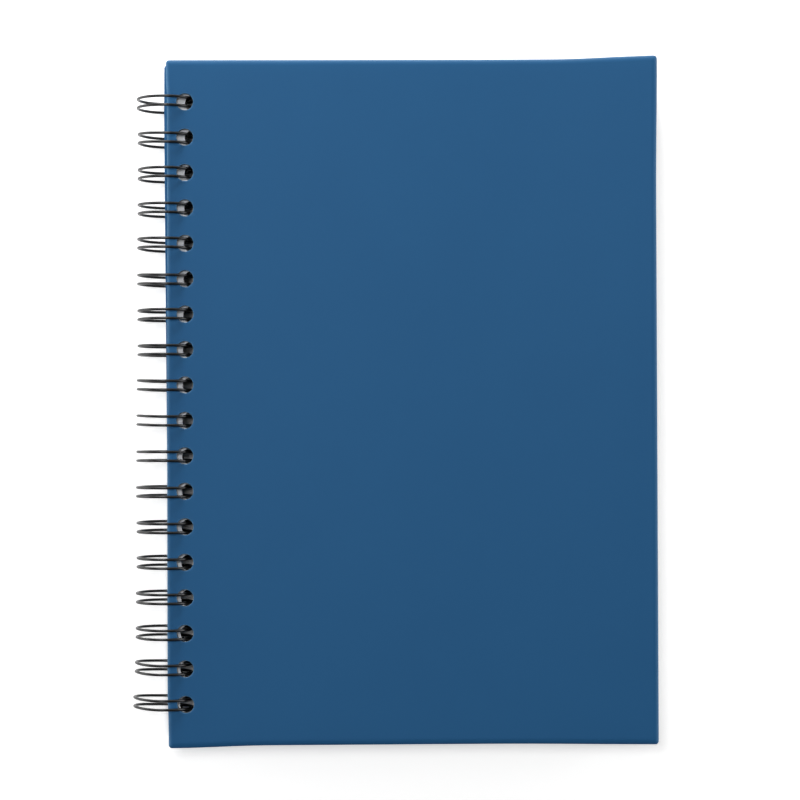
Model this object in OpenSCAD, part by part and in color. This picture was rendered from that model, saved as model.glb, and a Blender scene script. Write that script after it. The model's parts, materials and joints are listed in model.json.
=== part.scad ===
// Hardcover notebook with a twin-loop wire binding.
//
// It lies closed on a flat surface. X runs from the wire (-X) to the fore-edge (+X),
// Y runs from the tail (-Y) to the head (+Y), and Z is up. The origin is on the surface,
// under the middle of the outline. All sizes are in millimetres.
//
// Everything turns about one line, the axis of the wire rings, which is parallel to Y.
// The sheets, the covers and their holes are therefore laid out around that line, and
// the whole stack is then tilted a little, because it rests on the rings at the spine
// and on the edge of the back cover at the other side.

/* [Part] */
// piece to show

/* [Covers] */
// width of a cover, from its spine edge to its fore-edge
cover_w = 176; // [90:1:230]
// height of a cover, from head to tail
cover_h = 247; // [120:1:320]
// thickness of the grey board
board_t = 1.8; // [1:0.1:2.4]
// thickness of the covering paper
wrap_t = 0.15; // [0.1:0.01:0.2]
// radius of the wrapped edges, seen in section
edge_r = 0.6; // [0.3:0.05:0.9]
// radius of the cover's corners, seen from above
corner_r = 1.2; // [0.9:0.05:6]
// width of covering paper turned in over the inside of the board
turn_in = 15; // [10:0.5:22]
// thickness of the endpaper pasted over the turn-ins
endpaper_t = 0.15; // [0.1:0.01:0.2]
// margin of the endpaper from the cover's edges
endpaper_inset = 2.5; // [1.5:0.5:5]

/* [Pages] */
// thickness of all the sheets together
page_t = 11; // [3:0.5:13]
// how far the covers reach past the sheets at the fore-edge
fore_square = 3.4; // [0.5:0.1:5]
// how far the covers reach past the sheets at the head and at the tail
head_square = 3; // [0.5:0.1:5]
// paper between a sheet's holes and its spine edge
page_strip = 2; // [1.2:0.1:2.6]

/* [Holes] */
// diameter of the punched holes
hole_d = 6; // [5.4:0.1:6.6]
// distance from hole to hole, which is two to the inch
pitch = 12.7; // [11:0.1:16]
// least distance from an end hole to the head or the tail
end_room = 12; // [9:0.5:20]
// cover board between the holes and the spine edge
cover_strip = 3.4; // [2:0.1:4]

/* [Wire] */
// thickness of the coated wire
wire_d = 1; // [0.8:0.05:1.1]
// distance between the two wires of one loop
pair_gap = 3.26; // [2.8:0.02:3.4]
// angle past the lowest point of the ring where the hairpin tips start
tip_lead = 24; // [20:1:28]
// part of a turn-back left on each cut end, in degrees
end_stub = 55; // [20:5:80]
// how much less the wire's radius is in its tight bends
bend_thin = 0.02; // [0.01:0.005:0.04]
// how far a tight bend runs into the ring that it joins
bend_seat = 0.1; // [0.05:0.01:0.15]

/* [Clearances] */
// gap that the paste keeps between an endpaper and what it is pasted on
paste_gap = 0.01; // [0.005:0.005:0.03]
// gap between the sheets and each cover
leaf_gap = 0.15; // [0.05:0.05:0.5]
// smallest gap kept between the wire and the wall of a hole
wire_clear = 0.1; // [0.05:0.01:0.2]
// free play that a hole must leave along its sheet
hole_play = 0.4; // [0.2:0.1:1]
// gap between the two covers' spine edges when the front cover lies open
spine_clear = 0.9; // [0.5:0.1:2]
// how far the stack has sunk below the middle of the rings
stack_drop = 0.65; // [0:0.05:0.8]

/* [Resting place of each hole on the wire] */
// share of the front cover's play that lies on its spine side
front_share = 0.46; // [0.2:0.01:0.8]
// share of the sheets' play that lies on their spine side
page_share = 0.76; // [0.2:0.01:0.9]
// share of the back cover's play that lies on its spine side
back_share = 0.5; // [0.2:0.01:0.8]

/* [Hidden] */

// inner diameters that twin-loop wire is sold in
ring_sizes = [9.5, 11.1, 12.7, 14.3, 15.9, 17.5, 19.05, 20.6, 22.2, 23.8, 25.4, 28.6, 31.8, 38.1];

wire_r = wire_d / 2;
crown_r = (pitch - pair_gap) / 2;
hole_r = hole_d / 2;
cased_t = board_t + 2 * wrap_t;
cover_t = cased_t + endpaper_t;
stack_t = page_t + 2 * cover_t + 2 * leaf_gap;

// Levels of the stack, measured from the axis of the rings.
back_z0 = -stack_t / 2 - stack_drop;
back_z1 = back_z0 + cover_t;
page_z0 = back_z1 + leaf_gap;
page_z1 = page_z0 + page_t;
front_z0 = page_z1 + leaf_gap;
front_z1 = front_z0 + cover_t;

// A wire of the pair crosses the hole off its middle, so the half chord there is what
// the wire can use.
chord = sqrt(pow(hole_r, 2) - pow(pair_gap / 2, 2)) - wire_clear;

function nearest(z0, z1) = z0 * z1 < 0 ? 0 : min(abs(z0), abs(z1));
function farthest(z0, z1) = max(abs(z0), abs(z1));
function reach(r, z) = sqrt(max(0, r * r - z * z));

// The least and the greatest distance of a hole from the ring axis, along its sheet, at
// which a ring of radius r runs freely through a layer from level z0 to z1.
function hole_min(r, z0, z1) = reach(r + wire_r, nearest(z0, z1)) - chord;
function hole_max(r, z0, z1) = reach(r - wire_r, farthest(z0, z1)) + chord;
function play(r, z0, z1) = farthest(z0, z1) >= r - wire_r
  ? -1
  : hole_max(r, z0, z1) - hole_min(r, z0, z1);
function hole_at(r, z0, z1, share) =
  hole_min(r, z0, z1) + share * play(r, z0, z1);

// The ring is the smallest size on sale in which every layer keeps its play.
function least_play(r) = min(
  play(r, page_z0, page_z1),
  play(r, back_z0, back_z1),
  play(r, front_z0, front_z1)
);
function pick_size(i) =
  i == len(ring_sizes) - 1 || least_play(ring_sizes[i] / 2 + wire_r) >= hole_play
    ? i
    : pick_size(i + 1);

ring_r = ring_sizes[pick_size(0)] / 2 + wire_r;
ring_out = ring_r + wire_r;

front_hole = hole_at(ring_r, front_z0, front_z1, front_share);
page_hole = hole_at(ring_r, page_z0, page_z1, page_share);
back_hole = hole_at(ring_r, back_z0, back_z1, back_share);

// The covers turn about the rings, so their spine edges may not reach so far in that
// they meet when the front cover is laid open beside the back one.
cover_edge = min(cover_strip + hole_r, (front_hole + back_hole - spine_clear) / 2);
front_edge = front_hole - cover_edge;
back_edge = back_hole - cover_edge;
page_edge = page_hole - page_strip - hole_r;
page_w = min(front_edge, back_edge) + cover_w - fore_square - page_edge;
page_h = cover_h - 2 * head_square;

loops = floor((cover_h - 2 * end_room) / pitch) + 1;
hole_ys = [for (i = [0:loops - 1]) (i - (loops - 1) / 2) * pitch];

// The tilt at which the rounded lower edge of the back cover meets the surface that the
// rings stand on.
rim_x = back_edge + cover_w - edge_r;
rim_z = -back_z0 - edge_r;
lay_angle = asin((ring_out - edge_r) / norm([rim_x, rim_z])) - atan2(rim_z, rim_x);

far_x = max(front_edge + front_z1 * sin(lay_angle), back_edge) + cover_w;
axis_x = (ring_out - far_x) / 2;
axis_z = ring_out;

wrap_colour = "#2A5582";
board_colour = "#8F887B";
endpaper_colour = "#F1EFE9";
page_colour = "#F7F6F2";
wire_colour = "#17181A";

// PLACING

// Moves a shape drawn around the ring axis to its place on the surface.
module at_rings() {
  translate([axis_x, 0, axis_z]) children();
}

// The same for the stack, which also leans down to its fore-edge.
module in_stack() {
  at_rings() rotate([0, lay_angle, 0]) children();
}

// SHEETS AND BOARDS

// The row of punches, hole centres at x, through everything from level z0 to z1.
module punches(x, z0, z1) {
  for (y = hole_ys)
    translate([x, y, z0 - 1])
      cylinder(r = hole_r, h = z1 - z0 + 2, $fn = 64);
}

// Section of a slab with rounded edges, w wide and t high, standing on the X axis.
module rounded_section(w, t, r) {
  translate([r, 0]) square([w - 2 * r, t]);
  translate([0, r]) square([w, t - 2 * r]);
  for (x = [r, w - r], y = [r, t - r])
    translate([x, y]) circle(r = r, $fn = 48);
}

// The outer half of that section, from an upright axis out to radius c.
module corner_section(c, t, r) {
  intersection() {
    square([c, t]);
    translate([-c, 0]) rounded_section(2 * c, t, r);
  }
}

// A slab w by h by t on the XY plane, with its spine edge on the Y axis. Its edges are
// rounded by r in section and its corners by c in plan.
module rounded_slab(w, h, t, c, r) {
  translate([0, h / 2 - c, 0])
    rotate([90, 0, 0])
      linear_extrude(height = h - 2 * c) rounded_section(w, t, r);
  translate([c, -h / 2, 0])
    rotate([90, 0, 90])
      linear_extrude(height = w - 2 * c) rounded_section(h, t, r);
  for (x = [c, w - c], y = [c - h / 2, h / 2 - c])
    translate([x, y, 0])
      rotate_extrude($fn = 96) corner_section(c, t, r);
}

// A plain sheet w by h by t with its spine edge on the Y axis, set in by m all round.
module sheet(w, h, t, m) {
  translate([m, m - h / 2, 0]) cube([w - 2 * m, h - 2 * m, t]);
}

// One cover lies with its inside at level 0 facing down. Its pieces, from the inside
// out, are the endpaper, the turned-in covering paper, the board and the covering paper.
module board() {
  translate([wrap_t, 0, endpaper_t + wrap_t])
    rounded_slab(cover_w - 2 * wrap_t, cover_h - 2 * wrap_t, board_t,
      corner_r - wrap_t, edge_r - wrap_t);
}

module cover_wrap() {
  difference() {
    translate([0, 0, endpaper_t])
      rounded_slab(cover_w, cover_h, cased_t, corner_r, edge_r);
    board();
    translate([0, 0, endpaper_t - 1])
      sheet(cover_w, cover_h, 1 + wrap_t, turn_in);
  }
}

module endpaper() {
  t = endpaper_t - paste_gap;
  sheet(cover_w, cover_h, t, endpaper_inset);
  sheet(cover_w, cover_h, t + wrap_t, turn_in + paste_gap);
}

// A piece of the front cover, punched and laid on the sheets.
module on_front() {
  in_stack() difference() {
    translate([front_edge, 0, front_z0]) children();
    punches(front_hole, front_z0, front_z1);
  }
}

// The back cover's pieces are the front cover's, turned face down.
module on_back() {
  in_stack() difference() {
    translate([back_edge, 0, back_z1]) mirror([0, 0, 1]) children();
    punches(back_hole, back_z0, back_z1);
  }
}

// TWIN-LOOP WIRE

// A bend of the wire in the XY plane, radius r, from angle a0 to a1.
module bend(r, a0, a1, section_r) {
  rotate([0, 0, a0])
    rotate_extrude(angle = a1 - a0, $fn = 96)
      translate([r, 0]) circle(r = section_r, $fn = 32);
}

// A tight bend. The wire is drawn a hair thinner there, and each end that joins a ring
// runs a little way into it, by the angles e0 and e1.
module tight_bend(r, a0, a1, e0, e1) {
  bend(r, a0 - e0, a1 + e1, wire_r - bend_thin);
}

function seat_angle(r) = bend_seat / r * 180 / PI;

// One ring of the pair. It runs from the base at the lowest point up round the spine,
// over the front cover and down through the sheets to its tip.
module ring() {
  rotate([90, 0, 0]) mirror([1, 0, 0]) bend(ring_r, -90, 270 - tip_lead, wire_r);
}

// The hairpin that joins the two rings of a loop at their free ends.
module tip() {
  r = pair_gap / 2;
  e = seat_angle(r);
  rotate([0, 180 - tip_lead, 0]) tight_bend(r, -90, 90, e, e);
}

// The turn-back along the base that joins one loop to the next.
module crown() {
  e = seat_angle(crown_r);
  tight_bend(crown_r, -90, 90, e, e);
}

// The cut end past the first or the last loop, which keeps the start of a turn-back.
module cut_end() {
  e = seat_angle(crown_r);
  tight_bend(crown_r, -90, end_stub - 90, e, 0);
}

// The base line of all the rings, at the y of the middle between two loops.
module at_base(y) {
  translate([0, y, -ring_r]) children();
}

module loop_at(y) {
  for (s = [-1, 1]) translate([0, y + s * pair_gap / 2, 0]) ring();
  translate([ring_r * sin(tip_lead), y, -ring_r * cos(tip_lead)]) tip();
}

// NODES

module binding_wire() {
  color(wire_colour) at_rings() {
    for (y = hole_ys) loop_at(y);
    for (i = [0:loops - 2]) at_base(hole_ys[i] + pitch / 2) crown();
    at_base(hole_ys[0] - pitch / 2) mirror([0, 1, 0]) cut_end();
    at_base(hole_ys[loops - 1] + pitch / 2) cut_end();
  }
}

module page_block() {
  color(page_colour) in_stack() difference() {
    translate([page_edge, -page_h / 2, page_z0]) cube([page_w, page_h, page_t]);
    punches(page_hole, page_z0, page_z1);
  }
}

module front_board() {
  color(board_colour) on_front() board();
}

module front_cover_wrap() {
  color(wrap_colour) on_front() cover_wrap();
}

module front_endpaper() {
  color(endpaper_colour) on_front() endpaper();
}

module back_board() {
  color(board_colour) on_back() board();
}

module back_cover_wrap() {
  color(wrap_colour) on_back() cover_wrap();
}

module back_endpaper() {
  color(endpaper_colour) on_back() endpaper();
}

binding_wire();
page_block();
front_board();
front_cover_wrap();
front_endpaper();
back_board();
back_cover_wrap();
back_endpaper();
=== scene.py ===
"""Looks, light and camera of a wire-bound hardcover notebook.

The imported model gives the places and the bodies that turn. The pieces made here stand in
for its nodes: covers with a rolled paper edge and punched rims, a block of loose sheets,
and one bent wire. Lengths in the classes are millimetres, and meshes are in metres.

Three frames are used. A piece's own frame has u from its spine edge, v from tail to head
and w through its thickness. The stack's frame is measured from the axis of the wire
rings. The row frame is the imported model's.
"""
import json
import logging
import math
from dataclasses import dataclass
from enum import Enum
from typing import Any

import bpy
import numpy as np
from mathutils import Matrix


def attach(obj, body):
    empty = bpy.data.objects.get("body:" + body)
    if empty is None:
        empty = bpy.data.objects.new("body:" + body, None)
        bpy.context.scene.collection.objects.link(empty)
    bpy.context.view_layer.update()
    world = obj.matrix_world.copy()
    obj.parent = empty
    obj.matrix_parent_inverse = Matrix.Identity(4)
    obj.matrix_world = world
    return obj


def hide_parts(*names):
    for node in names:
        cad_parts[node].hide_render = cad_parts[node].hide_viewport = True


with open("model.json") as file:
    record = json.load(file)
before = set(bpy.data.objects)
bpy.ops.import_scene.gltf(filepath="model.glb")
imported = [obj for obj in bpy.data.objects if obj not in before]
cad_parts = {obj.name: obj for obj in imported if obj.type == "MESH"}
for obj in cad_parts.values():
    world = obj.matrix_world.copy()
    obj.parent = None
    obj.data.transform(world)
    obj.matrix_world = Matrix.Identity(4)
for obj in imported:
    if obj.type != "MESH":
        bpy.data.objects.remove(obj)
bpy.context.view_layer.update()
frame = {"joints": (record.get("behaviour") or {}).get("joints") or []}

LOG = logging.getLogger("notebook")
MM = 0.001
Array = np.ndarray
Step = tuple[float, float, float]


class Body(Enum):
    """The bodies that turn about the wire rings."""

    BACK = "back"
    PAGES = "pages"
    FRONT = "front"


class Slot(Enum):
    """The record's material slots."""

    WIRE = "wire"
    PAPER = "page_paper"
    BOARD = "greyboard"
    COVER = "cover_paper"
    ENDPAPER = "endpaper"


# SURFACES


@dataclass
class Surface:
    """Four-sided faces over points, anticlockwise when seen from outside.

    A face whose neighbouring corners are the same point counts as a triangle.
    """

    points: Array
    faces: Array

    @classmethod
    def lattice(cls, points: Array, closed: bool = False) -> "Surface":
        """Joins a grid of points to faces that look along row direction x column direction.

        Args:
            points: rows x columns x 3.
            closed: whether the last column meets the first.

        Returns:
            The surface.
        """
        rows, columns = points.shape[:2]
        index = np.arange(rows * columns).reshape(rows, columns)
        here = index if closed else index[:, :-1]
        beside = np.roll(index, -1, axis=1) if closed else index[:, 1:]
        faces = np.stack([here[:-1], here[1:], beside[1:], beside[:-1]], axis=-1)
        return cls(points.reshape(-1, 3), faces.reshape(-1, 4))

    @classmethod
    def rings(cls, plan: Array, levels: Array) -> "Surface":
        """Joins closed rings of points, each at its own level.

        Args:
            plan: rings x points x 2, the u and v of each point.
            levels: the w of each ring.

        Returns:
            The surface.
        """
        heights = np.broadcast_to(np.asarray(levels)[:, None, None], plan.shape[:2] + (1,))
        return cls.lattice(np.concatenate([plan, heights], axis=-1), closed=True)

    @classmethod
    def joined(cls, parts: list["Surface"]) -> "Surface":
        """Puts surfaces side by side in one, with their points not yet shared."""
        starts = np.cumsum([0] + [len(part.points) for part in parts[:-1]])
        faces = [part.faces + start for part, start in zip(parts, starts)]
        return cls(np.concatenate([part.points for part in parts]), np.concatenate(faces))

    def flipped(self) -> "Surface":
        """Turns every face round."""
        return Surface(self.points, self.faces[:, ::-1])

    def welded(self, *twins: Array, step: float = 2e-4) -> tuple["Surface", list[Array]]:
        """Shares the points that lie in one cell of a very fine grid.

        Args:
            twins: other arrays with one row per point, thinned in the same way.
            step: side of a cell.

        Returns:
            The surface with shared points, and the thinned twins.
        """
        # The offset keeps round lengths away from the borders of the cells.
        offset = 0.137
        cells = np.floor(self.points / step + offset).astype(np.int64)
        _, first, inverse = np.unique(cells, axis=0, return_index=True, return_inverse=True)
        faces = inverse.reshape(-1)[self.faces]
        corners = (faces != np.roll(faces, -1, axis=1)).sum(axis=1)
        opposite = (faces[:, 0] == faces[:, 2]) | (faces[:, 1] == faces[:, 3])
        faces = faces[(corners > 2) & ~opposite]
        return Surface(self.points[first], faces), [twin[first] for twin in twins]

    def closed_with(self, inner: Array) -> "Surface":
        """Makes a shell of this surface and its twin, with a wall along each open edge.

        An edge is open where no face runs along it the other way. Its wall is the four
        points of the edge and its twin.

        Args:
            inner: the twin's points, one for each of this surface's.

        Returns:
            The closed shell.
        """
        count = len(self.points)
        ends = np.roll(self.faces, -1, axis=1)
        edges = np.stack([self.faces, ends], axis=-1).reshape(-1, 2)
        edges = edges[edges[:, 0] != edges[:, 1]]
        one_way = edges[:, 0] * count + edges[:, 1]
        other_way = edges[:, 1] * count + edges[:, 0]
        a, b = edges[~np.isin(one_way, other_way)].T
        walls = np.stack([b, a, a + count, b + count], axis=-1)
        faces = np.concatenate([self.faces, self.faces[:, ::-1] + count, walls])
        return Surface(np.concatenate([self.points, inner]), faces)


@dataclass(frozen=True)
class Layout:
    """Where the stack lies on the rings, and the rings in the row frame."""

    axis_x: float
    axis_z: float
    lean: float = 0.6456

    def place(self, stack: Array) -> Array:
        """Turns points of the stack's frame by its lean and moves them to the row frame.

        Args:
            stack: n x 3, in millimetres from the ring axis.

        Returns:
            The points in metres.
        """
        c, s = math.cos(math.radians(self.lean)), math.sin(math.radians(self.lean))
        x, y, z = stack.T
        row = [self.axis_x + x * c + z * s, y, self.axis_z - x * s + z * c]
        return np.stack(row, axis=-1) * MM


def walk_round(us: Array, vs: Array) -> list[Array]:
    """Gives the four sides of a grid's outline, anticlockwise from its lowest corner."""
    return [
        np.stack([us, np.full_like(us, vs[0])], -1),
        np.stack([np.full_like(vs, us[-1]), vs], -1),
        np.stack([us[::-1], np.full_like(us, vs[-1])], -1),
        np.stack([np.full_like(vs, us[0]), vs[::-1]], -1),
    ]


@dataclass
class PunchedSheet:
    """The lines of a sheet w by h with a row of round holes near its spine edge.

    The sheet's flat part is a grid of lines. Each hole takes a square cell of it, in
    which rings of points go over from the hole's circle to the square's outline.
    """

    width: float
    height: float
    hole_x: float
    inset: float = 0.0
    turn_in: float = 15.0
    hole_r: float = 3.0
    pitch: float = 12.7
    holes: int = 18
    cell: float = 3.8
    cell_steps: int = 8
    fan_steps: int = 6
    rim: float = 0.25
    rim_sink: float = 0.1
    bays: int = 30
    squareness: float = 0.0

    @property
    def hole_ys(self) -> Array:
        """The v of each hole's centre, spaced by the pitch about the middle."""
        return (np.arange(self.holes) - (self.holes - 1) / 2) * self.pitch

    @property
    def window(self) -> tuple[float, float]:
        """The u and v at which the part inside the turned-in paper starts."""
        step = 2 * self.cell / self.cell_steps
        return self.turn_in, self.hole_ys[-1] + step

    def lines(self) -> tuple[Array, Array]:
        """Gives the grid lines: even ones over the cells and wide bays elsewhere.

        Returns:
            The lines' u and v, each rising.
        """
        cell = np.linspace(-self.cell, self.cell, self.cell_steps + 1)
        far = self.width - self.inset
        bays = np.linspace(self.window[0], self.width - self.window[0], self.bays)
        us = np.concatenate([[self.inset], self.hole_x + cell, bays, [far]])
        end = self.height / 2 - self.inset
        mid = (self.hole_ys[-1] + self.cell + end) / 2
        vs = (self.hole_ys[:, None] + cell).reshape(-1)
        return us, np.concatenate([[-end, -mid], vs, [mid, end]])

    def face(self, level: float, keep: str = "all") -> Surface:
        """Makes the flat part at one level, facing up, with its holes.

        A point of a cell is hole circle x (1 - t) + square outline x t. Near the hole the
        face dips by rim_sink x (1 - distance / rim) squared, as a punch drags it.

        Args:
            level: the w of the face.
            keep: "all", "frame" for what lies outside the window, or "window".

        Returns:
            The open surface.
        """
        us, vs = self.lines()
        grid = np.stack(np.meshgrid(us, vs, indexing="ij"), axis=-1)
        grid = np.concatenate([grid, np.full(grid.shape[:2] + (1,), level)], axis=-1)
        flat = Surface.lattice(grid)
        middle = flat.points[flat.faces].mean(axis=1)
        off_u = np.abs(middle[:, 0] - self.hole_x)
        off_v = np.abs(middle[:, 1:2] - self.hole_ys).min(axis=1)
        in_cell = (off_u < self.cell) & (off_v < self.cell)
        from_side = np.minimum(middle[:, 0], self.width - middle[:, 0])
        inside = (from_side > self.window[0]) & (np.abs(middle[:, 1]) < self.window[1])
        chosen = {"all": inside | ~inside, "frame": ~inside, "window": inside}[keep]
        flat.faces = flat.faces[~in_cell & chosen]
        return flat if keep == "window" else Surface.joined([flat, self._cells(level)])

    def _cells(self, level: float) -> Surface:
        """Makes the cells' rings of points for all the holes at once, as `face` says."""
        side = np.linspace(-self.cell, self.cell, self.cell_steps + 1)
        square = np.concatenate([line[:-1] for line in walk_round(side, side)])
        reach = self.rim * np.array([0.0, 0.12, 0.3, 0.6, 1.0])
        near = self._circle()[None] * (self.hole_r + reach)[:, None, None]
        share = np.array([0.33, 0.66, 1.0])[:, None, None]
        wide = near[-1:] * (1 - share) + square[None] * share
        rings = np.concatenate([near, wide])
        dip = np.zeros(len(rings))
        dip[: len(reach)] = self.rim_sink * (1 - reach / self.rim) ** 2
        return self._at_holes(Surface.rings(rings, level - dip))

    def _circle(self) -> Array:
        """Gives a circle of radius 1 with as many points as a cell's outline has."""
        count = 4 * self.cell_steps
        turn = np.radians(-135 + np.arange(count) * 360 / count)
        return np.stack([np.cos(turn), np.sin(turn)], axis=-1)

    def _at_holes(self, one: Surface) -> Surface:
        """Repeats a surface, made about the origin, at the centre of every hole."""
        moves = np.stack([np.full(self.holes, self.hole_x), self.hole_ys,
                          np.zeros(self.holes)], axis=-1)
        points = (one.points[None] + moves[:, None]).reshape(-1, 3)
        starts = np.arange(self.holes)[:, None, None] * len(one.points)
        return Surface(points, (one.faces[None] + starts).reshape(-1, 4))

    def walls(self, levels: Array) -> Surface:
        """Makes the holes' round walls through the given levels, from the top down.

        Args:
            levels: the w of each ring of points.

        Returns:
            The open surface, facing into the holes.
        """
        ring = self._circle() * self.hole_r
        rings = np.broadcast_to(ring, (len(levels),) + ring.shape)
        return self._at_holes(Surface.rings(rings, levels).flipped())

    def band(self, outs: Array, levels: Array) -> Surface:
        """Carries a section round the edge: point = outline + outward direction x out.

        The outline is the flat part's, and its corners are repeated with directions that
        turn through a right angle, which rounds them. A corner's direction is
        squareness x (first side + second side) + (1 - squareness) x the turned direction,
        so the more square it is, the smaller the corner's radius.

        Args:
            outs: how far each point of the section lies outside the flat part.
            levels: the w of each point of the section.

        Returns:
            The open surface, facing out of the sheet where the section runs downwards.
        """
        us, vs = self.lines()
        base, reach = [], []
        fan = np.radians(np.linspace(0, 90, self.fan_steps + 1))[:, None]
        sides = ((0.0, -1.0), (1.0, 0.0), (0.0, 1.0), (-1.0, 0.0))
        for line, side in zip(walk_round(us, vs), sides):
            first, second = np.array(side), np.array((-side[1], side[0]))
            turned = np.cos(fan) * first + np.sin(fan) * second
            corner = self.squareness * (first + second) + (1 - self.squareness) * turned
            base += [line, np.repeat(line[-1:], len(fan), axis=0)]
            reach += [np.repeat(first[None], len(line), axis=0), corner]
        outline, away = np.concatenate(base), np.concatenate(reach)
        plan = outline[None] + away[None] * np.asarray(outs)[:, None, None]
        return Surface.rings(plan, levels)


# FINISHES


def linear(colour: str) -> tuple[float, float, float, float]:
    """Turns an sRGB hex colour to linear light with the standard sRGB curve.

    Args:
        colour: such as "#2A5582".

    Returns:
        Red, green, blue and an alpha of 1.
    """
    parts = [int(colour[i : i + 2], 16) / 255 for i in (1, 3, 5)]
    red, green, blue = (
        p / 12.92 if p <= 0.04045 else ((p + 0.055) / 1.055) ** 2.4 for p in parts
    )
    return red, green, blue, 1.0


def add_node(
    tree: bpy.types.NodeTree,
    kind: str,
    settings: dict[str, Any] | None = None,
    inputs: dict[str | int, Any] | None = None,
) -> bpy.types.Node:
    """Adds a node, sets its properties, and links or fills its inputs.

    Args:
        tree: the material's or the world's node tree.
        kind: the node's type, such as "ShaderNodeBump".
        settings: property names and values.
        inputs: input names or numbers, each with an output to link or a value to set.

    Returns:
        The new node.
    """
    node = tree.nodes.new(kind)
    for name, value in (settings or {}).items():
        setattr(node, name, value)
    for key, value in (inputs or {}).items():
        if isinstance(value, bpy.types.NodeSocket):
            tree.links.new(value, node.inputs[key])
        else:
            node.inputs[key].default_value = value
    return node


def fresh_tree(owner: bpy.types.Material | bpy.types.World) -> bpy.types.NodeTree:
    """Empties a material's or a world's node tree and gives it."""
    owner.use_nodes = True
    owner.node_tree.nodes.clear()
    return owner.node_tree


def add_math(tree: bpy.types.NodeTree, operation: str, first: Any,
             second: Any) -> bpy.types.NodeSocket:
    """Works out one operation on two sockets or numbers."""
    return add_node(tree, "ShaderNodeMath", {"operation": operation},
                    {0: first, 1: second}).outputs[0]


def add_mix(tree: bpy.types.NodeTree, share: bpy.types.NodeSocket, first: Any,
            second: Any) -> bpy.types.NodeSocket:
    """Mixes two colours, each a socket or sRGB hex, by the second one's share."""
    colours = (linear(c) if isinstance(c, str) else c for c in (first, second))
    return add_node(tree, "ShaderNodeMix", {"data_type": "RGBA"},
                    dict(zip((0, 6, 7), (share, *colours)))).outputs[2]


def add_place(tree: bpy.types.NodeTree, stretch: float = 1.0) -> bpy.types.NodeSocket:
    """Gives Object coordinates, with x and y scaled so that patterns lie in layers."""
    place = add_node(tree, "ShaderNodeTexCoord").outputs["Object"]
    if stretch == 1.0:
        return place
    return add_node(tree, "ShaderNodeMapping", inputs={
        "Vector": place, "Scale": (stretch, stretch, 1.0)}).outputs[0]


def add_noise(tree: bpy.types.NodeTree, place: bpy.types.NodeSocket, size: float,
              detail: float, roughness: float = 0.5) -> bpy.types.NodeSocket:
    """Adds a noise whose pattern repeats about every `size` millimetres."""
    return add_node(tree, "ShaderNodeTexNoise", inputs={
        "Vector": place, "Scale": 1.0 / (size * MM), "Detail": detail,
        "Roughness": roughness}).outputs["Fac"]


def add_shader(tree: bpy.types.NodeTree, colour: Any, roughness: float, level: float,
               height: bpy.types.NodeSocket, strength: float,
               relief: float) -> bpy.types.NodeSocket:
    """Adds a surface shader over a bump.

    Args:
        tree: the material's node tree.
        colour: a socket, or sRGB hex.
        roughness: of the surface.
        level: the specular level.
        height: what the bump rises by.
        strength: the bump's share.
        relief: the bump's full height in millimetres.

    Returns:
        The shader's output.
    """
    bump = add_node(tree, "ShaderNodeBump", inputs={
        "Height": height, "Strength": strength, "Distance": relief * MM})
    return add_node(tree, "ShaderNodeBsdfPrincipled", inputs={
        "Base Color": linear(colour) if isinstance(colour, str) else colour,
        "Roughness": roughness, "Specular IOR Level": level,
        "Normal": bump.outputs["Normal"]}).outputs["BSDF"]


@dataclass(frozen=True)
class Finish:
    """A real material and how its surface was made."""

    name: str

    def make(self) -> bpy.types.Material:
        """Makes the material's nodes.

        Returns:
            The material.
        """
        material = bpy.data.materials.new(self.name)
        tree = fresh_tree(material)
        shader = self.shade(tree)
        add_node(tree, "ShaderNodeOutputMaterial", inputs={"Surface": shader})
        return material

    def shade(self, tree: bpy.types.NodeTree) -> bpy.types.NodeSocket:
        """Gives the surface shader's output; each finish has its own."""
        raise NotImplementedError


@dataclass(frozen=True)
class CoveringPaper(Finish):
    """Uncoated blue covering paper, dyed and calendered, pasted round the board.

    Calendering leaves a flat, dull face with a very low sheen, in which only the fibres
    show as a fine grain. Along the folds and at the punched rims a paler blue is painted
    on as a highlight, broken up by the fibres.
    """

    colour: str = "#215A88"
    shade_colour: str = "#1F5785"
    # Painted highlight colour for the lit folds and punched rims.
    highlight_blue: str = "#7AA5C6"
    fibre: float = 0.5
    cloud: float = 28.0

    def shade(self, tree: bpy.types.NodeTree) -> bpy.types.NodeSocket:
        """Mixes two near blues by clouds, paints a highlight on the marked edges, raises fibres.
        """
        place = add_place(tree)
        blue = add_mix(tree, add_noise(tree, place, self.cloud, 3.0), self.colour,
                       self.shade_colour)
        # Fibres are about 0.03 mm wide, which is too fine to show, so they are drawn at
        # half a millimetre.
        fibres = add_noise(tree, place, self.fibre, 6.0, 0.65)
        # The mark read here says where a paler blue is painted on as a highlight, broken up by
        # the fibres.
        edge = add_node(tree, "ShaderNodeAttribute", {"attribute_name": "edge_highlight"})
        highlit = add_math(tree, "MULTIPLY", edge.outputs["Fac"], fibres)
        colour = add_mix(tree, highlit, blue, self.highlight_blue)
        return add_shader(tree, colour, 0.6, 0.18, fibres, 0.35, 0.06)


@dataclass(frozen=True)
class PressedBoard(Finish):
    """Grey board pressed from waste paper and cut by a punch.

    Pressing lays the fibres flat, so the cut wall shows thin dull layers with darker and
    paler flecks, and has no gloss at all.
    """

    colour: str = "#6E6A63"
    fleck: str = "#55514B"
    layer: float = 0.35

    def shade(self, tree: bpy.types.NodeTree) -> bpy.types.NodeSocket:
        """Stretches a noise along the sheet, so that it shows as layers on a cut."""
        layers = add_noise(tree, add_place(tree, 0.25), self.layer, 4.0)
        colour = add_mix(tree, layers, self.colour, self.fleck)
        return add_shader(tree, colour, 0.95, 0.2, layers, 0.6, 0.1)


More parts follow.
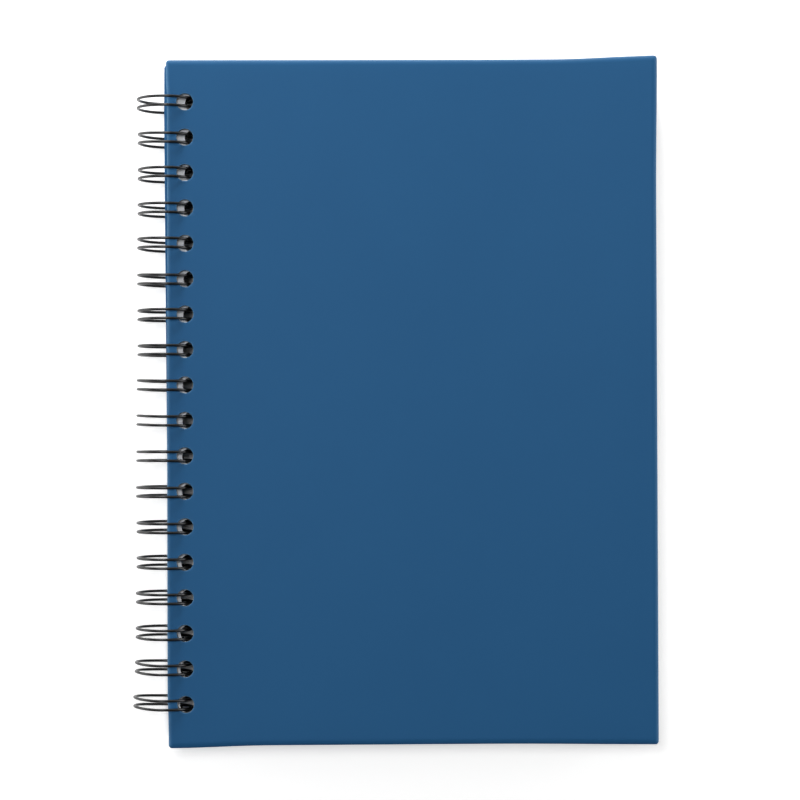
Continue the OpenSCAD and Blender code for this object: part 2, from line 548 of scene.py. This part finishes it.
@dataclass(frozen=True)
class WritingPaper(Finish):
    """White uncoated writing paper, machine-made, with a faint printed ruling.

    It is evenly matte and opaque. The ruling is pale grey and thin, so from a little way
    off it only greys the page. The cut edges are painted greyer than the face, with fine
    dark lines, for the shade between the sheets, and the walls of the holes are painted
    dark for the shade inside them.
    """

    colour: str = "#F2F5FA"
    ink: str = "#C0C8D2"
    # Painted shade: grey for the cut edges, darker lines between the leaves, dark for the hole
    # walls.
    cut: str = "#C9C6BF"
    sheet_gap_shade: str = "#8C8983"
    punched: str = "#4E4B47"
    line_gap: float = 7.1
    line_width: float = 0.25
    tooth: float = 0.4
    leaf: float = 0.37

    def shade(self, tree: bpy.types.NodeTree) -> bpy.types.NodeSocket:
        """Rules the face at every multiple of the ruling's spacing, and paints shade on the cut
        edges.
        """
        sheet = add_node(tree, "ShaderNodeUVMap", {"uv_map": "sheet"})
        height = add_node(tree, "ShaderNodeSeparateXYZ", inputs={0: sheet.outputs[0]})
        face = add_node(tree, "ShaderNodeAttribute", {"attribute_name": "face"})
        rows = add_math(tree, "PINGPONG", height.outputs["Y"], self.line_gap * MM / 2)
        near = add_math(tree, "LESS_THAN", rows, self.line_width * MM / 2)
        # Paper's tooth is some 0.05 mm across; it is drawn at 0.4 mm so that it shows.
        tooth = add_noise(tree, add_place(tree), self.tooth, 4.0)
        # A leaf is 0.11 mm thick; a painted dark line stands for the shade in the gaps of three
        # or four.
        leaves = add_noise(tree, add_place(tree, 0.02), self.leaf, 2.0)
        printed = add_mix(tree, near, self.colour, self.ink)
        # Painted shade on the cut edges: the grey cut colour with darker lines where the leaves
        # part.
        edge = add_mix(tree, leaves, self.cut, self.sheet_gap_shade)
        # The hole walls are painted dark, for the shade inside the holes.
        holes = add_node(tree, "ShaderNodeAttribute", {"attribute_name": "punched"})
        cut = add_mix(tree, holes.outputs["Fac"], edge, self.punched)
        colour = add_mix(tree, face.outputs["Fac"], cut, printed)
        return add_shader(tree, colour, 0.85, 0.3, tooth, 0.2, 0.04)


@dataclass(frozen=True)
class LiningPaper(Finish):
    """Heavy off-white endpaper, laid smooth on the inside of a cover with paste.

    The paste draws it down flat, so only a soft unevenness shows in a raking light.
    """

    colour: str = "#F1EFE9"
    shade_colour: str = "#EAE7DF"
    ripple: float = 9.0

    def shade(self, tree: bpy.types.NodeTree) -> bpy.types.NodeSocket:
        """Lets slow clouds tint the paper and ripple it slightly."""
        clouds = add_noise(tree, add_place(tree), self.ripple, 5.0)
        colour = add_mix(tree, clouds, self.colour, self.shade_colour)
        return add_shader(tree, colour, 0.8, 0.35, clouds, 0.2, 0.15)


@dataclass(frozen=True)
class CoatedWire(Finish):
    """Steel binding wire with a black nylon coat.

    The coat is put on hot and runs smooth, so it is black with a narrow, soft highlight
    along the wire, and only slight waves break that highlight up.
    """

    colour: str = "#060708"
    wave: float = 1.6

    def shade(self, tree: bpy.types.NodeTree) -> bpy.types.NodeSocket:
        """Gives a black coat whose slow waves come from a noise."""
        waves = add_noise(tree, add_place(tree), self.wave, 2.0)
        return add_shader(tree, self.colour, 0.3, 0.55, waves, 0.15, 0.05)


# PIECES


def add_piece(
    name: str,
    surface: Surface,
    places: Array,
    material: bpy.types.Material,
    body: Body,
    stands_for: str,
    marks: dict[str, Array] | None = None,
    sharp: float = 35.0,
) -> bpy.types.Object:
    """Writes a surface into a mesh object and hands it to the frame.

    Args:
        name: the piece's name.
        surface: its faces, with points in the piece's own frame.
        places: the same points in the row frame, in metres.
        material: its finish.
        body: the body that it rides on.
        stands_for: the model's node that it replaces.
        marks: values per point that the finish reads, by name.
        sharp: the angle in degrees from which an edge is drawn sharp.

    Returns:
        The object.
    """
    keep = surface.faces != np.roll(surface.faces, -1, axis=1)
    corners = surface.faces[keep].astype(np.int32)
    counts = keep.sum(axis=1)
    mesh = bpy.data.meshes.new(name)
    mesh.vertices.add(len(places))
    mesh.vertices.foreach_set("co", places.astype(np.float32).ravel())
    mesh.loops.add(len(corners))
    mesh.loops.foreach_set("vertex_index", corners)
    mesh.polygons.add(len(counts))
    mesh.polygons.foreach_set("loop_start", (np.cumsum(counts) - counts).astype(np.int32))
    mesh.update(calc_edges=True)
    flat = (surface.points[:, :2] * MM)[corners]
    mesh.uv_layers.new(name="sheet").data.foreach_set("uv", flat.astype(np.float32).ravel())
    for mark, values in (marks or {}).items():
        layer = mesh.attributes.new(mark, "FLOAT", "POINT")
        layer.data.foreach_set("value", values.astype(np.float32))
    mesh.polygons.foreach_set("use_smooth", np.ones(len(counts), bool))
    mesh.set_sharp_from_angle(angle=math.radians(sharp))
    mesh.materials.append(material)
    mesh.validate()
    piece = bpy.data.objects.new(name, mesh)
    bpy.context.scene.collection.objects.link(piece)
    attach(piece, body.value)
    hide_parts(stands_for)
    triangles = int((counts - 2).sum())
    LOG.info("%s: %d points, %d triangles, on %s", name, len(places), triangles, body.value)
    return piece


def ramp(value: Array, start: float, end: float) -> Array:
    """Rises smoothly from 0 at start to 1 at end, as 3 t squared - 2 t cubed."""
    t = np.clip((value - start) / (end - start), 0, 1)
    return t * t * (3 - 2 * t)


def steps(value: Array, first: float, *rises: Step) -> Array:
    """Starts at a first height and adds smooth steps, each given as (rise, start, end)."""
    return first + sum(rise * ramp(value, start, end) for rise, start, end in rises)


@dataclass(frozen=True)
class Warp:
    """How a cover lies: skewed a little on its wire, bowed in plan, its fore-edge curled."""

    skew: float = 0.0
    shift: float = 0.0
    head_lift: float = 0.0
    tail_lift: float = 0.0
    bow: float = 0.0
    spine: tuple[tuple[float, float], ...] = ((0.0, 0.0),)
    spine_end: float = 40.0
    droop: float = 0.0
    droop_end: float = 12.0
    start: float = 0.6
    power: float = 2.0
    head_steps: tuple[float, Step] = (-0.44, (0.86, 140, 174))
    tail_steps: tuple[float, Step, Step] = (-0.14, (0.81, 0, 36), (-0.42, 118, 176))
    fore_steps: tuple[float, Step] = (-0.45, (0.45, 75, 122))
    margin: tuple[float, float] = (112, 120)

    def bend(self, points: Array, width: float, height: float, pivot: float) -> Array:
        """Lifts, bows and turns points of the cover's own frame.

        The lift is s to a power, times a height that goes over evenly from tail to head,
        where s runs from 0 at the start of the curl to 1 at the fore-edge. The bow moves
        the head and tail edges by smooth steps along u, and the fore-edge by one along v.
        It pulls the head in, but lets the corner at its fore-edge stand out, and the tail
        in along its middle. The fore-edge's part fades across the cover, and the others
        stay within the margin at the edge, so the holes keep their places. The skew is a
        turn about the middle of the row of holes. The strip along the spine, up to its
        end, moves by amounts given as (v, shift), because its edge isn't quite straight.
        Where it stands out, the cover bends outwards by droop * shift * (1 - u / end)^2,
        which leaves room for the other cover's edge when that one lies open beside it.

        Args:
            points: n x 3.
            width: the cover's width.
            height: the cover's height.
            pivot: the u of the row of holes.

        Returns:
            The bent points.
        """
        u, v, w = points.T
        across, along = u / width, v / height + 0.5
        s = np.clip((across - self.start) / (1 - self.start), 0, None) ** self.power
        up = along * self.head_lift + (1 - along) * self.tail_lift
        head, tail = steps(u, *self.head_steps), steps(u, *self.tail_steps)
        fore = steps(v, *self.fore_steps)
        c, k = math.cos(math.radians(self.skew)), math.sin(math.radians(self.skew))
        out = np.interp(v, *zip(*self.spine))
        strip = out * (1 - ramp(u / self.spine_end, 0.65, 1))
        droop = self.droop * np.clip(-out, 0, None)
        droop = droop * np.clip(1 - u / self.droop_end, 0, 1) ** 2
        x = u - pivot + self.bow * across * fore + strip
        pull = (along * head + (1 - along) * tail) * ramp(np.abs(v), *self.margin)
        y = v + self.bow * pull
        lift = s * up + droop
        turned = [pivot + x * c - y * k, x * k + y * c + self.shift, w + lift]
        return np.stack(turned, axis=-1)


@dataclass
class Cover:
    """One cased cover: a punched board in covering paper, lined with an endpaper.

    In its own frame the cover's inside is at w = 0 and its outside at w = 2.25.
    """

    name: str
    body: Body
    edge: float
    level: float
    facing: int
    layout: Layout
    warp: Warp = Warp()
    width: float = 176.0
    height: float = 247.0
    hole_x: float = 6.4
    board_t: float = 1.8
    paper_t: float = 0.15
    edge_r: float = 0.6
    corner_r: float = 1.2
    shoulder: float = 2.3
    crush: float = 24.0
    lining_inset: float = 2.5
    # Reaches of the painted edge highlight: from the sides, from the hole rims, and round the
    # roll.
    highlight_side: float = 1.5
    highlight_rim: float = 0.4
    highlight_low: float = 0.8
    arc_steps: int = 6

    def section(self, peel: float, low: float, high: float) -> tuple[Array, Array]:
        """Gives the section of the wrapped edge: shoulder, roll, wall and inner roll.

        Casing presses the board's edge, so the outer face slopes down ever more over the
        shoulder: fall = end slope x end distance / 2.2 x (distance / end distance) to the
        power 2.2. From there the paper rolls round at one radius.

        Args:
            peel: how deep under the outer face the section lies.
            low: the level of the outer face's inside turn.
            high: the level of the outer face.

        Returns:
            How far each point lies out from the flat part, and its level, from the top.
        """
        r, crush, power = self.edge_r, math.radians(self.crush), 2.2
        middle = self.shoulder - r
        end = middle + r * math.sin(crush)
        part = np.linspace(0, 1, 5)[:-1]
        fall = math.tan(crush) * end / power
        upper = np.linspace(crush, math.pi / 2, self.arc_steps + 1)
        lower = np.linspace(math.pi / 2, math.pi, self.arc_steps + 1)
        tilt = np.concatenate([np.arctan(math.tan(crush) * part ** (power - 1)), upper, lower,
                               [math.pi]])
        out = np.concatenate([end * part, middle + r * np.sin(upper),
                              middle + r * np.sin(lower), [0.0]])
        level = np.concatenate([high - fall * part**power,
                                high - fall - r * (math.cos(crush) - np.cos(upper)),
                                low + r + r * np.cos(lower), [low]])
        return out - peel * np.sin(tilt), level - peel * np.cos(tilt)

    def sheet(self, inset: float) -> PunchedSheet:
        """Gives the cover's punched outline with its flat part set in by so much."""
        return PunchedSheet(self.width, self.height, self.hole_x, inset,
                            squareness=1 - self.corner_r / self.shoulder)

    def wrap(self) -> Surface:
        """Makes the covering paper: outer face, rolled edges and turned-in margin.

        The inner twin follows the same lines one paper thickness deeper.

        Returns:
            The closed shell.
        """
        sheet, t = self.sheet(self.shoulder), self.paper_t
        low, high = t, 3 * t + self.board_t
        outer, inner = (
            Surface.joined([
                sheet.face(high - peel),
                sheet.band(*self.section(peel, low, high)),
                sheet.face(low + peel, "frame").flipped(),
            ])
            for peel in (0.0, t)
        )
        shell, (twin,) = outer.welded(inner.points)
        return shell.closed_with(twin)

    def board(self) -> Surface:
        """Makes the pressed board: two faces, the rounded edge and the punched walls.

        Returns:
            The closed surface.
        """
        sheet, t = self.sheet(self.shoulder), self.paper_t
        low, high = t, 3 * t + self.board_t
        dip = sheet.rim_sink
        levels = np.linspace(high - t - dip, low + t - dip, 7)
        return Surface.joined([
            sheet.face(high - t),
            sheet.band(*self.section(t, low, high)),
            sheet.face(low + t).flipped(),
            sheet.walls(levels),
        ]).welded()[0]

    def lining(self) -> Surface:
        """Makes the endpaper, which also fills the window inside the turned-in margin.

        Returns:
            The closed surface.
        """
        sheet, t = self.sheet(self.lining_inset), self.paper_t
        us, vs = sheet.lines()
        u0, v1 = sheet.window
        us = us[(us > u0 - 1e-6) & (us < self.width - u0 + 1e-6)]
        vs = vs[np.abs(vs) < v1 + 1e-6]
        loop = np.concatenate([line[:-1] for line in walk_round(us, vs)])
        step = np.stack([np.column_stack([loop, np.full(len(loop), z)]) for z in (2 * t, t)])
        dip = sheet.rim_sink
        return Surface.joined([
            sheet.face(t, "frame"),
            Surface.lattice(step, closed=True),
            sheet.face(2 * t, "window"),
            sheet.band([0.0, 0.0], [t, 0.0]),
            sheet.face(0.0).flipped(),
            sheet.walls(np.array([t - dip, -dip])),
        ]).welded()[0]

    def edge_highlight(self, points: Array) -> Array:
        """Marks where a highlight is painted: 1 at the sides and the punched rims, 0 further in.

        The mark is (1 - distance / reach) squared, with the distance and the reach of the
        nearest side or hole wall, and fades out round the roll to the inside. The tail
        edge, which gets little light, has no painted highlight.

        Args:
            points: n x 3 in the cover's own frame.

        Returns:
            One value per point.
        """
        u, v, w = points.T
        sheet = self.sheet(self.shoulder)
        side = np.minimum(np.minimum(u, self.width - u), self.height / 2 - v)
        off_v = np.abs(v[:, None] - sheet.hole_ys).min(axis=1)
        hole = np.hypot(u - self.hole_x, off_v) - sheet.hole_r
        near = np.minimum(side / self.highlight_side, hole / self.highlight_rim)
        mark = np.clip(1 - near, 0, 1) ** 2
        return mark * np.clip((w - self.highlight_low) / self.highlight_low, 0, 1)

    def add(self, part: str, surface: Surface, material: bpy.types.Material,
            slot: Slot) -> bpy.types.Object:
        """Bends one of the cover's pieces, lays it in the stack and adds it.

        Args:
            part: the end of the node's name.
            surface: the piece in the cover's own frame.
            material: its finish.
            slot: the record's slot, not used.

        Returns:
            The object.
        """
        bent = self.warp.bend(surface.points, self.width, self.height, self.hole_x)
        stack = bent * (1, 1, self.facing) + (self.edge, 0, self.level)
        piece = surface if self.facing > 0 else surface.flipped()
        # The mark passed on says where the covering paper's painted highlight goes.
        return add_piece(f"{self.name}_{part}_piece", piece, self.layout.place(stack),
                         material, self.body, f"{self.name}_{part}",
                         {"edge_highlight": self.edge_highlight(surface.points)})

    def build(self, paper: bpy.types.Material, board: bpy.types.Material,
              lining: bpy.types.Material) -> None:
        """Builds the cover's three pieces.

        Args:
            paper: the covering paper.
            board: the pressed board.
            lining: the endpaper.
        """
        self.add("cover_wrap", self.wrap(), paper, Slot.COVER)
        self.add("board", self.board(), board, Slot.BOARD)
        self.add("endpaper", self.lining(), lining, Slot.ENDPAPER)


@dataclass
class PageBlock:
    """The sheets: one block whose edges show them as steps.

    The upper sheets have slid along the wire and turned a little on it. Real sheets are
    0.11 mm thick, too thin to show, so each step stands for three or four of them.
    """

    layout: Layout
    width: float = 169.514
    height: float = 241.0
    thickness: float = 11.0
    edge: float = 3.0
    level: float = -6.15
    hole_x: float = 6.3
    steps: int = 30
    slide: tuple[float, float] = (0.17, 0.72)
    turn: float = 0.27
    scatter: float = 0.05

    def slack(self, depth: Array) -> tuple[Array, Array, Array]:
        """Says how the sheet at a depth lies: slide along u, along v, and turn.

        All are turned a little on the wire, and lean on it: slide = first + second x
        (height / thickness - 1), so the top ones have slid furthest from the spine. A
        seeded scatter, even within a step, is added to both slides.

        Args:
            depth: the w of each point.

        Returns:
            The slides in millimetres and the turn in degrees.
        """
        rise = depth / self.thickness
        scatter = np.random.default_rng(7).normal(0, self.scatter, (self.steps, 2))
        scatter[[0, -1]] = 0
        sheet = np.clip((rise * self.steps).astype(int), 0, self.steps - 1)
        slide = self.slide[0] + self.slide[1] * (rise - 1)
        return slide + scatter[sheet, 0], scatter[sheet, 1], np.full_like(rise, -self.turn)

    def build(self, paper: bpy.types.Material) -> None:
        """Builds the block with a pair of rings of points for each step.

        A point is turned about the middle of the row of holes and then slid.

        Args:
            paper: the writing paper.
        """
        sheet = PunchedSheet(self.width, self.height, self.hole_x, rim=0.2, rim_sink=0.0,
                             turn_in=12.0, bays=12)
        bounds = np.linspace(self.thickness, 0, self.steps + 1)
        nudge = 1e-3
        levels = np.stack([bounds[:-1] - nudge, bounds[1:] + nudge], -1).reshape(-1)
        levels[[0, -1]] = self.thickness, 0
        # The holes are seen less closely than the edges, so every third step will do.
        walls = levels.reshape(-1, 2)[::3].reshape(-1)
        walls[-1] = 0
        surface = Surface.joined([
            sheet.face(self.thickness),
            sheet.band(np.zeros_like(levels), levels),
            sheet.face(0.0).flipped(),
            sheet.walls(walls),
        ]).welded()[0]
        u, v, w = surface.points.T
        slide_u, slide_v, turn = self.slack(w)
        turn = np.radians(turn)
        x = u - self.hole_x
        bent = np.stack([self.hole_x + x * np.cos(turn) - v * np.sin(turn) + slide_u,
                         x * np.sin(turn) + v * np.cos(turn) + slide_v, w], axis=-1)
        stack = bent + (self.edge, 0, self.level)
        face = ((w < 1e-6) | (w > self.thickness - 1e-6)).astype(float)
        # Marks the hole walls, on which the paper paints shade.
        off_v = np.abs(v[:, None] - sheet.hole_ys).min(axis=1)
        punched = (1 - face) * (np.hypot(u - self.hole_x, off_v) < sheet.hole_r + 0.1)
        add_piece("page_block_piece", surface, self.layout.place(stack), paper,
                  Body.PAGES, "page_block", {"face": face, "punched": punched})


@dataclass
class BindingWire:
    """One wire bent to a row of twin loops, drawn round along its own path.

    Each loop goes from the base round the spine, over the front cover and down through
    the sheets to a hairpin tip, and back beside itself. A turn-back along the base leads
    to the next loop.
    """

    layout: Layout
    ring_r: float = 10.025
    wire_r: float = 0.5
    pair_gap: float = 3.17
    pitch: float = 12.7
    loops: int = 18
    tip_lead: float = 24.0
    end_stub: float = 55.0
    ring_steps: int = 84
    tip_steps: int = 12
    crown_steps: int = 36
    sides: int = 12
    # One value per loop, from the head to the tail, in millimetres.
    bulge: tuple[float, ...] = (0.35, -0.05, -0.09, -0.11, -0.02, -0.07, -0.19, -0.28, -0.05,
                                -0.02, -0.04, 0.04, -0.18, -0.25, -0.04, -0.04, 0.21, 0.7)
    sway: tuple[float, ...] = (0.19, 0.25, 0.02, 0.12, 0.42, 0.18, -0.05, 0.0, 0.26,
                               0.27, -0.09, -0.21, -0.28, -0.19, -0.16, -0.04, 0.39, 0.6)
    lean: tuple[float, ...] = (0.35, -0.2, 0.2, 0.05, 0.27, -0.22, 0.16, 0.0, -0.03, -0.07,
                               -0.03, -0.24, -0.38, -0.4, -0.27, -0.36, -0.16, 0.03)

    def loop_path(self) -> tuple[Array, Array, Array]:
        """Gives one loop and the turn-back after it.

        The rings are circle arcs about the ring axis, the tip a half circle in the plane
        that touches the ring at its end, and the turn-back a half circle at the base.

        Returns:
            Points, directions, and the way out from the ring axis, each n x 3.
        """
        travel = np.radians(np.linspace(0, 360 - self.tip_lead, self.ring_steps + 1))
        angle = -np.pi / 2 - travel
        zero = np.zeros_like(angle)
        out = np.stack([np.cos(angle), zero, np.sin(angle)], axis=-1)
        along = np.stack([np.sin(angle), zero, -np.cos(angle)], axis=-1)
        half, across = self.pair_gap / 2, np.array([0.0, 1.0, 0.0])
        first = out * self.ring_r - across * half
        second = (out * self.ring_r + across * half)[::-1]
        sweep = np.radians(np.linspace(0, 180, self.tip_steps + 1))[1:-1, None]
        tip = out[-1] * self.ring_r + half * (np.sin(sweep) * along[-1] - np.cos(sweep) * across)
        tip_way = np.cos(sweep) * along[-1] + np.sin(sweep) * across
        turn = np.radians(np.linspace(0, 180, self.crown_steps + 1))[1:-1, None]
        crown_r = (self.pitch - self.pair_gap) / 2
        ahead = np.array([1.0, 0.0, 0.0])
        middle = out[0] * self.ring_r + across * self.pitch / 2
        crown = middle + crown_r * (np.sin(turn) * ahead - np.cos(turn) * across)
        crown_way = np.cos(turn) * ahead + np.sin(turn) * across
        points = np.concatenate([first, tip, second, crown])
        ways = np.concatenate([along, tip_way, -along[::-1], crown_way])
        outs = np.concatenate([
            out, np.repeat(out[-1:], len(tip), axis=0), out[::-1],
            np.repeat(out[:1], len(crown), axis=0),
        ])
        return points, ways, outs

    def path(self) -> tuple[Array, Array, Array]:
        """Repeats the loop along the spine and cuts the ends off in their turn-backs.

        No two loops are bent quite alike. Each one's spine side bulges out and sways along
        the spine by its own amounts times (distance past the axis / ring radius) squared.
        Each leans along the spine too, by an amount that grows evenly from base to top,
        less the part of it that the sway already holds.

        Returns:
            Points, directions and ways out of the whole wire.
        """
        points, ways, outs = self.loop_path()
        ys = (np.arange(-1, self.loops) - (self.loops - 1) / 2) * self.pitch
        moves = np.stack([ys * 0, ys, ys * 0], axis=-1)
        past = np.clip(-points[:, 0] / self.ring_r, 0, None) ** 2
        rise = 0.5 + 0.5 * points[:, 2] / self.ring_r - 0.5 * past
        bulge, sway, lean = (np.array([0.0, *values[::-1]])[:, None, None]
                             for values in (self.bulge, self.sway, self.lean))
        along, out = np.array([0.0, 1.0, 0.0]), np.array([1.0, 0.0, 0.0])
        bent = (sway * along - bulge * out) * past[:, None] + lean * along * rise[:, None]
        whole = (points[None] + moves[:, None] + bent).reshape(-1, 3)
        ways, outs = (np.tile(a, (len(ys), 1)) for a in (ways, outs))
        stub = round(self.end_stub / 180 * self.crown_steps)
        start, end = len(points) - stub, len(whole) - (self.crown_steps - 1 - stub)
        return whole[start:end], ways[start:end], outs[start:end]

    def tube(self, points: Array, ways: Array, outs: Array) -> Surface:
        """Carries a circle along the path and rounds its two ends off.

        A point is path + radius x (out x cos + side x sin), where side is out x way. The
        ends are two smaller circles and a point, as on a ball pressed flat to a share, the
        cap, of its radius.

        Args:
            points: the path.
            ways: its directions.
            outs: one direction square to it at each point.

        Returns:
            The closed tube.
        """
        cap = 0.35
        lead = np.array([1.0, 0.87, 0.5, 0.0]) * cap
        size = np.array([0.0, 0.5, 0.87, 1.0])
        head = points[:1] - ways[:1] * lead[:, None] * self.wire_r
        tail = points[-1:] + ways[-1:] * lead[::-1, None] * self.wire_r
        radii = np.concatenate([size[:-1], np.ones(len(points)), size[::-1][1:]])
        points = np.concatenate([head[:-1], points, tail[1:]])
        ways = np.concatenate([ways[:1].repeat(3, 0), ways, ways[-1:].repeat(3, 0)])
        outs = np.concatenate([outs[:1].repeat(3, 0), outs, outs[-1:].repeat(3, 0)])
        side = np.cross(outs, ways)
        turn = np.radians(np.arange(self.sides) * 360 / self.sides)[None, :, None]
        ring = outs[:, None] * np.cos(turn) + side[:, None] * np.sin(turn)
        ring = ring * (radii * self.wire_r)[:, None, None]
        return Surface.lattice(points[:, None] + ring, closed=True).welded()[0]

    def build(self, coat: bpy.types.Material) -> None:
        """Builds the wire; it stands upright on the surface, so it has no lean.

        Args:
            coat: the coated wire's finish.
        """
        surface = self.tube(*self.path())
        upright = Layout(self.layout.axis_x, self.layout.axis_z, 0.0)
        add_piece("binding_wire_piece", surface, upright.place(surface.points), coat,
                  Body.BACK, "binding_wire", sharp=60.0)


# STUDIO


@dataclass(frozen=True)
class Lamp:
    """A square soft lamp that faces the notebook."""

    name: str
    watts: float
    size: float
    place: tuple[float, float, float]

    def hang(self) -> None:
        """Adds the lamp to the scene."""
        data = bpy.data.lights.new(self.name, "AREA")
        data.shape, data.size, data.energy = "SQUARE", self.size, self.watts
        lamp = bpy.data.objects.new(self.name, data)
        x, y, z = self.place
        lamp.location = self.place
        lamp.rotation_euler = (math.atan2(math.hypot(x, y), z), 0.0,
                               math.atan2(y, x) + math.pi / 2)
        bpy.context.scene.collection.objects.link(lamp)


@dataclass
class Studio:
    """A white floor in a dim room with pale walls, soft lamps and a camera above.

    The walls are pale to the head, the spine and the fore-edge side, which lights the
    rolled edges there, and dim on the tail side and overhead.
    """

    floor_half: float = 4.0
    floor_colour: str = "#F4F4F4"
    floor_glow: float = 0.53
    # Lines at which the glow fades out, painting shade on the floor under the notebook.
    glow_shade_x: tuple[float, ...] = (-0.0845, -0.0815, 0.086, 0.092)
    glow_shade_y: tuple[float, ...] = (-0.122, -0.116, 0.116, 0.122)
    room: float = 0.1
    wall: float = 2.8
    wall_top: float = 0.45
    lamps: tuple[Lamp, ...] = (
        Lamp("key", 5.0, 0.36, (-0.19, 0.18, 1.2)),
        Lamp("head", 2.4, 0.3, (-0.18, 0.58, 0.25)),
        Lamp("spine", 0.5, 0.2, (-0.6, 0.0, 0.2)),
        Lamp("fore_edge", 0.55, 0.2, (0.6, 0.05, 0.2)),
    )
    camera_place: tuple[float, float, float] = (-6.343, -11.215, 880.448)
    camera_turn: tuple[float, float, float] = (0.829, -0.502, 0.134)
    lens: float = 108.342

    def seen(self, tree: bpy.types.NodeTree) -> bpy.types.NodeSocket:
        """Gives 1 to rays that come from the camera, a gloss or a glass, and 0 to others."""
        path = add_node(tree, "ShaderNodeLightPath").outputs
        gloss = add_math(tree, "MAXIMUM", path["Is Camera Ray"], path["Is Glossy Ray"])
        return add_math(tree, "MAXIMUM", gloss, path["Is Transmission Ray"])

    def floor(self) -> None:
        """Lays a square of matte white, with a little glow that only seen rays get.

        The glow evens the open floor out to white. It fades out between each outer line
        of the notebook's outline and the inner one beside it, and is off inside them, which
        paints shade on the floor under the notebook.
        """
        x, y = (
            np.concatenate([np.linspace(-self.floor_half, -near, 9), lines,
                            np.linspace(near, self.floor_half, 9)])
            for near, lines in ((0.12, self.glow_shade_x), (0.15, self.glow_shade_y))
        )
        u, v = np.meshgrid(x, y, indexing="ij")
        surface = Surface.lattice(np.stack([u, v, np.zeros_like(u)], axis=-1))
        mesh = bpy.data.meshes.new("floor")
        mesh.from_pydata(surface.points, [], surface.faces)
        # Under the notebook the glow is left off: painted shade, seen through the holes and
        # under the edges.
        under = (u > self.glow_shade_x[0]) & (u < self.glow_shade_x[-1]) & (np.abs(v) < self.glow_shade_y[-1])
        mark = mesh.attributes.new("open", "FLOAT", "POINT")
        mark.data.foreach_set("value", (~under).astype(np.float32).ravel())
        material = bpy.data.materials.new("matte_white_paper_sweep")
        tree = fresh_tree(material)
        matte = add_node(tree, "ShaderNodeBsdfDiffuse", inputs={
            "Color": linear(self.floor_colour)})
        glow_outside_shade = add_node(tree, "ShaderNodeAttribute", {"attribute_name": "open"})
        glow = add_node(tree, "ShaderNodeEmission", inputs={"Strength": self.floor_glow})
        dark = add_node(tree, "ShaderNodeEmission", inputs={"Strength": 0.0})
        # The glow reaches only the open floor, so the floor under the notebook is painted in
        # shade.
        glows = add_math(tree, "MULTIPLY", self.seen(tree), glow_outside_shade.outputs["Fac"])
        lit = add_node(tree, "ShaderNodeMixShader", inputs={
            0: glows, 1: dark.outputs[0], 2: glow.outputs[0]})
        both = add_node(tree, "ShaderNodeAddShader", inputs={
            0: matte.outputs[0], 1: lit.outputs[0]})
        add_node(tree, "ShaderNodeOutputMaterial", inputs={"Surface": both.outputs[0]})
        mesh.materials.append(material)
        floor = bpy.data.objects.new("floor", mesh)
        bpy.context.scene.collection.objects.link(floor)

    def light(self) -> None:
        """Sets the room and its lamps.

        The room's light is room + (wall - room) x height share x side share. The height
        share falls from 1 at the floor to 0 at the walls' top, and the side share is 0
        towards the tail and 1 elsewhere, each with a soft step.
        """
        world = bpy.data.worlds.new("studio")
        tree = fresh_tree(world)
        way = add_node(tree, "ShaderNodeSeparateXYZ", inputs={
            0: add_node(tree, "ShaderNodeTexCoord").outputs["Generated"]})
        low = add_node(tree, "ShaderNodeMapRange", {"interpolation_type": "SMOOTHSTEP"}, {
            "Value": way.outputs["Z"], "From Min": 0.1, "From Max": self.wall_top,
            "To Min": 1.0, "To Max": 0.0})
        side = add_node(tree, "ShaderNodeMapRange", {"interpolation_type": "SMOOTHSTEP"}, {
            "Value": way.outputs["Y"], "From Min": -0.7, "From Max": -0.2})
        share = add_math(tree, "MULTIPLY", low.outputs[0], side.outputs[0])
        strength = add_node(tree, "ShaderNodeMapRange", inputs={
            "Value": share, "To Min": self.room, "To Max": self.wall})
        back = add_node(tree, "ShaderNodeBackground", inputs={
            "Color": (1.0, 1.0, 1.0, 1.0), "Strength": strength.outputs[0]})
        add_node(tree, "ShaderNodeOutputWorld", inputs={"Surface": back.outputs[0]})
        bpy.context.scene.world = world
        for lamp in self.lamps:
            lamp.hang()

    def camera(self) -> None:
        """Puts the camera where the photograph was taken from."""
        data = bpy.data.cameras.new("camera")
        data.lens, data.sensor_width = self.lens, 36.0
        data.clip_start, data.clip_end = 0.01, 20.0
        camera = bpy.data.objects.new("camera", data)
        camera.location = [c * MM for c in self.camera_place]
        camera.rotation_euler = [math.radians(t) for t in self.camera_turn]
        bpy.context.scene.collection.objects.link(camera)
        bpy.context.scene.camera = camera

    def build(self) -> None:
        """Builds the studio and keeps the picture's colours as they are lit."""
        self.floor()
        self.light()
        self.camera()
        bpy.context.scene.view_settings.view_transform = "Standard"


def main() -> None:
    """Builds the notebook and its studio."""
    logging.basicConfig(level=logging.INFO, format="%(name)s: %(message)s")
    turn = next(joint for joint in frame["joints"] if joint["name"] == "front_turn")
    layout = Layout(turn["pos_m"][0] / MM, turn["pos_m"][2] / MM)
    paper = CoveringPaper("uncoated_blue_covering_paper").make()
    board = PressedBoard("pressed_grey_board").make()
    lining = LiningPaper("heavy_offwhite_endpaper").make()
    front = Warp(0.389, 0.152, 4.0, 1.5, 1.0, (
        (-120, 0.0), (-112, -0.1), (-104, -0.36), (-50, -0.3), (0, -0.2), (15, -0.08),
        (60, 0.05), (111, 0.05), (118, -0.3)))
    back = Warp(0.3, spine=((-123, 0.87), (105, -0.93), (120, -0.85)), spine_end=3.4,
                droop=1.25)
    Cover("front", Body.FRONT, 1.249, 5.0, 1, layout, front).build(paper, board, lining)
    Cover("back", Body.BACK, -0.085, -6.3, -1, layout, back).build(paper, board, lining)
    PageBlock(layout).build(WritingPaper("uncoated_ruled_writing_paper").make())
    BindingWire(layout).build(CoatedWire("black_nylon_coated_steel_wire").make())
    Studio().build()


if __name__ == "__main__":
    main()
